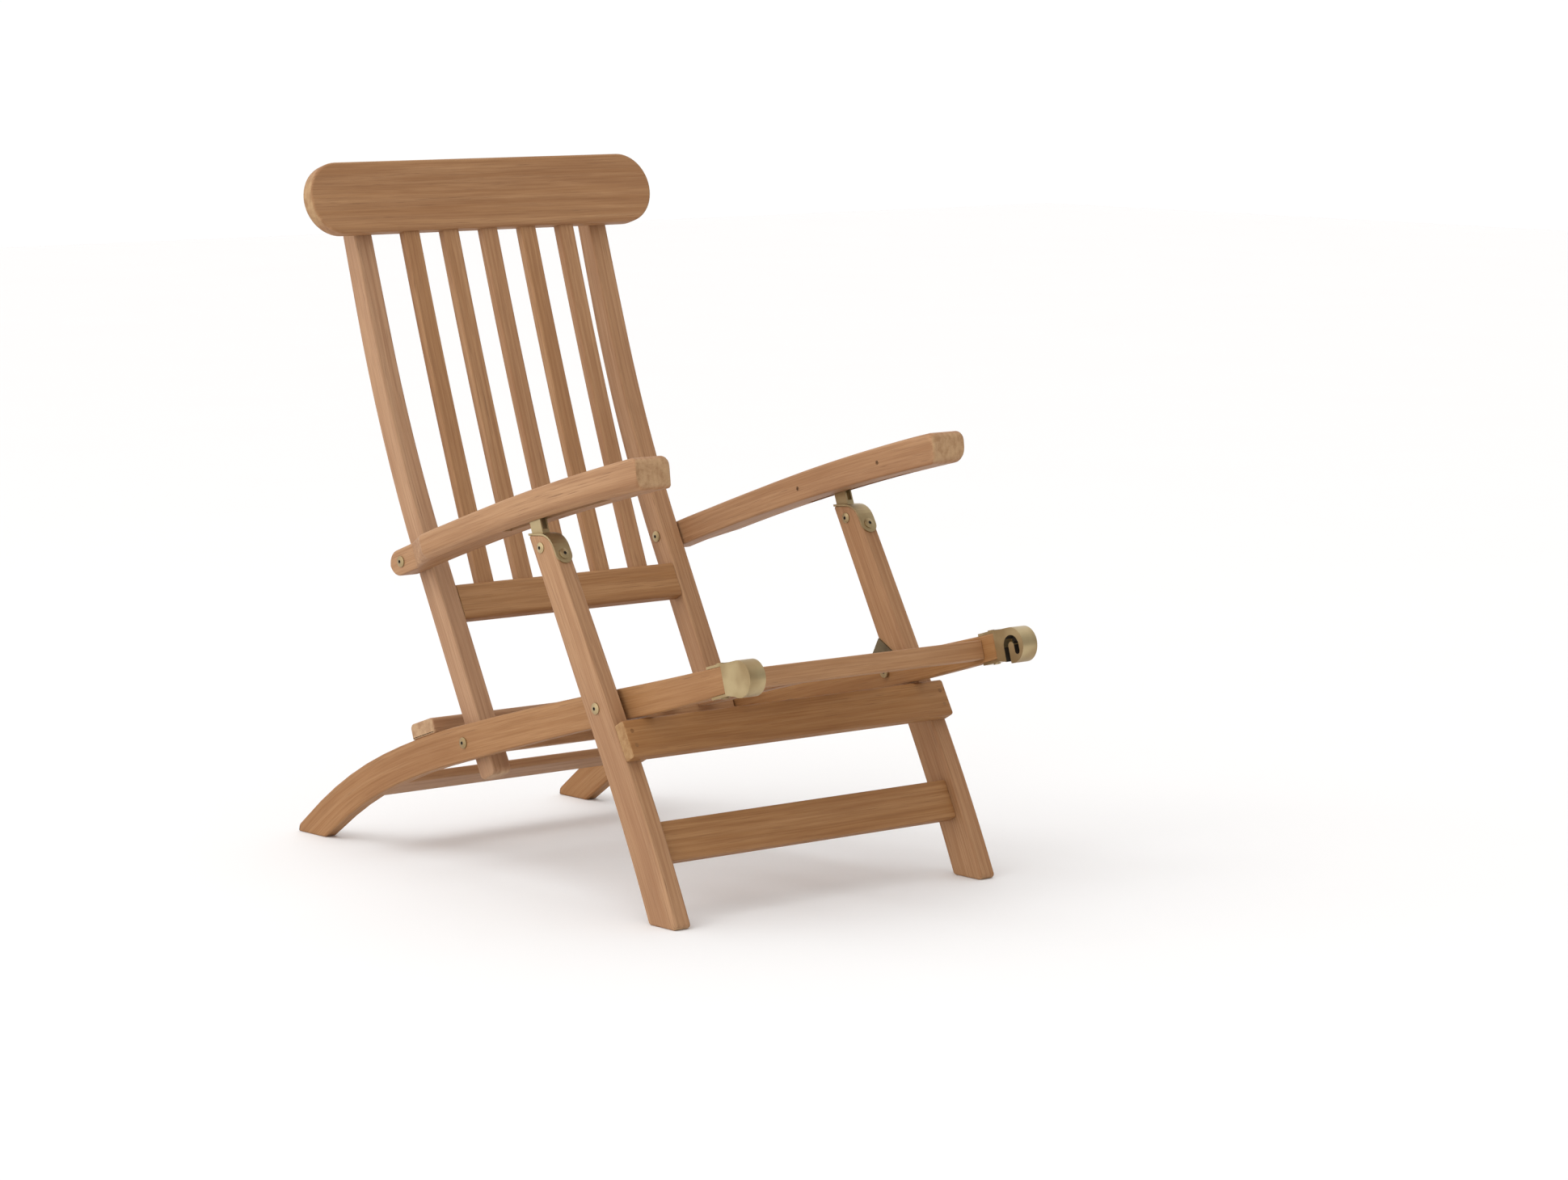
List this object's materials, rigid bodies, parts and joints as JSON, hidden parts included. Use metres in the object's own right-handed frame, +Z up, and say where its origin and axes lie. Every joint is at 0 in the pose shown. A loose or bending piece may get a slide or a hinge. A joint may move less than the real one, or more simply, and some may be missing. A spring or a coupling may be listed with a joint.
{
  "type": "folding wooden deck chair",
  "caption": "Folding slatted teak deck chair with pivoting legs and back, notched brass racks under the arms, and front sockets for a hooked footrest.",
  "frame": {"origin": "under the middle of the open chair, on the floor", "axes": "+Z up, the chair faces -Y, +X is the sitter's left"},
  "size_m": [0.6218, 1.0594, 0.9998],
  "materials": {
    "teak": "bare sanded teak, light golden brown, matt",
    "brass": "satin unlacquered brass, slightly dulled"
  },
  "bodies": {
    "seat_frame": {"side_rail_left": "teak", "side_rail_right": "teak", "seat_front_rail": "teak", "seat_rear_rail": "teak", "seat_slat_1": "teak", "seat_slat_2": "teak", "seat_slat_3": "teak", "seat_slat_4": "teak", "seat_slat_5": "teak", "back_stop_rail": "teak", "rear_stretcher": "teak", "footrest_socket_left": "brass", "footrest_socket_right": "brass", "socket_screws": "brass", "leg_pivot_bolts": "brass"},
    "front_legs": {"front_leg_left": "teak", "front_leg_right": "teak", "front_apron": "teak", "lower_stretcher": "teak", "apron_dowels": "teak", "leg_cap_left": "brass", "leg_cap_right": "brass", "lug_bolts": "brass", "cap_screws": "brass", "lug_pins": "brass", "leg_pivot_plate_left": "brass", "leg_pivot_plate_right": "brass"},
    "back_pivot": {"back_pivot_bolts": "brass"},
    "back": {"back_stile_left": "teak", "back_stile_right": "teak", "headrest": "teak", "headrest_screws": "brass", "back_bottom_rail": "teak", "back_slat_1": "teak", "back_slat_2": "teak", "back_slat_3": "teak", "back_slat_4": "teak", "back_slat_5": "teak"},
    "arm_pivot_left": {"arm_pivot_bolt_left": "brass"},
    "arm_washer_left": {"arm_pivot_washer_left": "brass"},
    "arm_left": {"arm_left": "teak", "rack_left": "brass", "rack_pins_left": "brass"},
    "arm_pivot_right": {"arm_pivot_bolt_right": "brass"},
    "arm_washer_right": {"arm_pivot_washer_right": "brass"},
    "arm_right": {"arm_right": "teak", "rack_right": "brass", "rack_pins_right": "brass"}
  },
  "joints": [
    {"name": "leg_fold", "type": "hinge", "parent": "seat_frame", "child": "front_legs", "pos_m": [0, -0.2402, 0.281], "axis": [1, 0, 0], "range_deg": [0, 85]},
    {"name": "back_fold", "type": "hinge", "parent": "seat_frame", "child": "back_pivot", "pos_m": [0, 0.11117, 0.186], "axis": [1, 0, 0], "range_deg": [0, 85]},
    {"name": "back_recline", "type": "hinge", "parent": "back_pivot", "child": "back", "pos_m": [0, 0.11117, 0.186], "axis": [-1, 0, 0], "range_deg": [0, 18]},
    {"name": "arm_fold_left", "type": "hinge", "parent": "back", "child": "arm_pivot_left", "pos_m": [0, 0.24046, 0.43436], "axis": [1, 0, 0], "range_deg": [-96.9, 0]},
    {"name": "arm_recline_left", "type": "hinge", "parent": "arm_pivot_left", "child": "arm_washer_left", "pos_m": [0, 0.24046, 0.43436], "axis": [1, 0, 0], "range_deg": [0, 14.04]},
    {"name": "arm_lift_left", "type": "hinge", "parent": "arm_washer_left", "child": "arm_left", "pos_m": [0, 0.24046, 0.43436], "axis": [-1, 0, 0], "range_deg": [0, 20]},
    {"name": "arm_fold_right", "type": "hinge", "parent": "back", "child": "arm_pivot_right", "pos_m": [0, 0.24046, 0.43436], "axis": [1, 0, 0], "range_deg": [-96.9, 0]},
    {"name": "arm_recline_right", "type": "hinge", "parent": "arm_pivot_right", "child": "arm_washer_right", "pos_m": [0, 0.24046, 0.43436], "axis": [1, 0, 0], "range_deg": [0, 14.04]},
    {"name": "arm_lift_right", "type": "hinge", "parent": "arm_washer_right", "child": "arm_right", "pos_m": [0, 0.24046, 0.43436], "axis": [-1, 0, 0], "range_deg": [0, 20]}
  ],
  "couplings": [
    {"joint": "back_fold", "follows": "leg_fold", "ratio": 1},
    {"joint": "arm_fold_left", "follows": "leg_fold", "ratio": -1.14},
    {"joint": "arm_recline_left", "follows": "back_recline", "ratio": 0.78},
    {"joint": "arm_fold_right", "follows": "leg_fold", "ratio": -1.14},
    {"joint": "arm_recline_right", "follows": "back_recline", "ratio": 0.78}
  ]
}
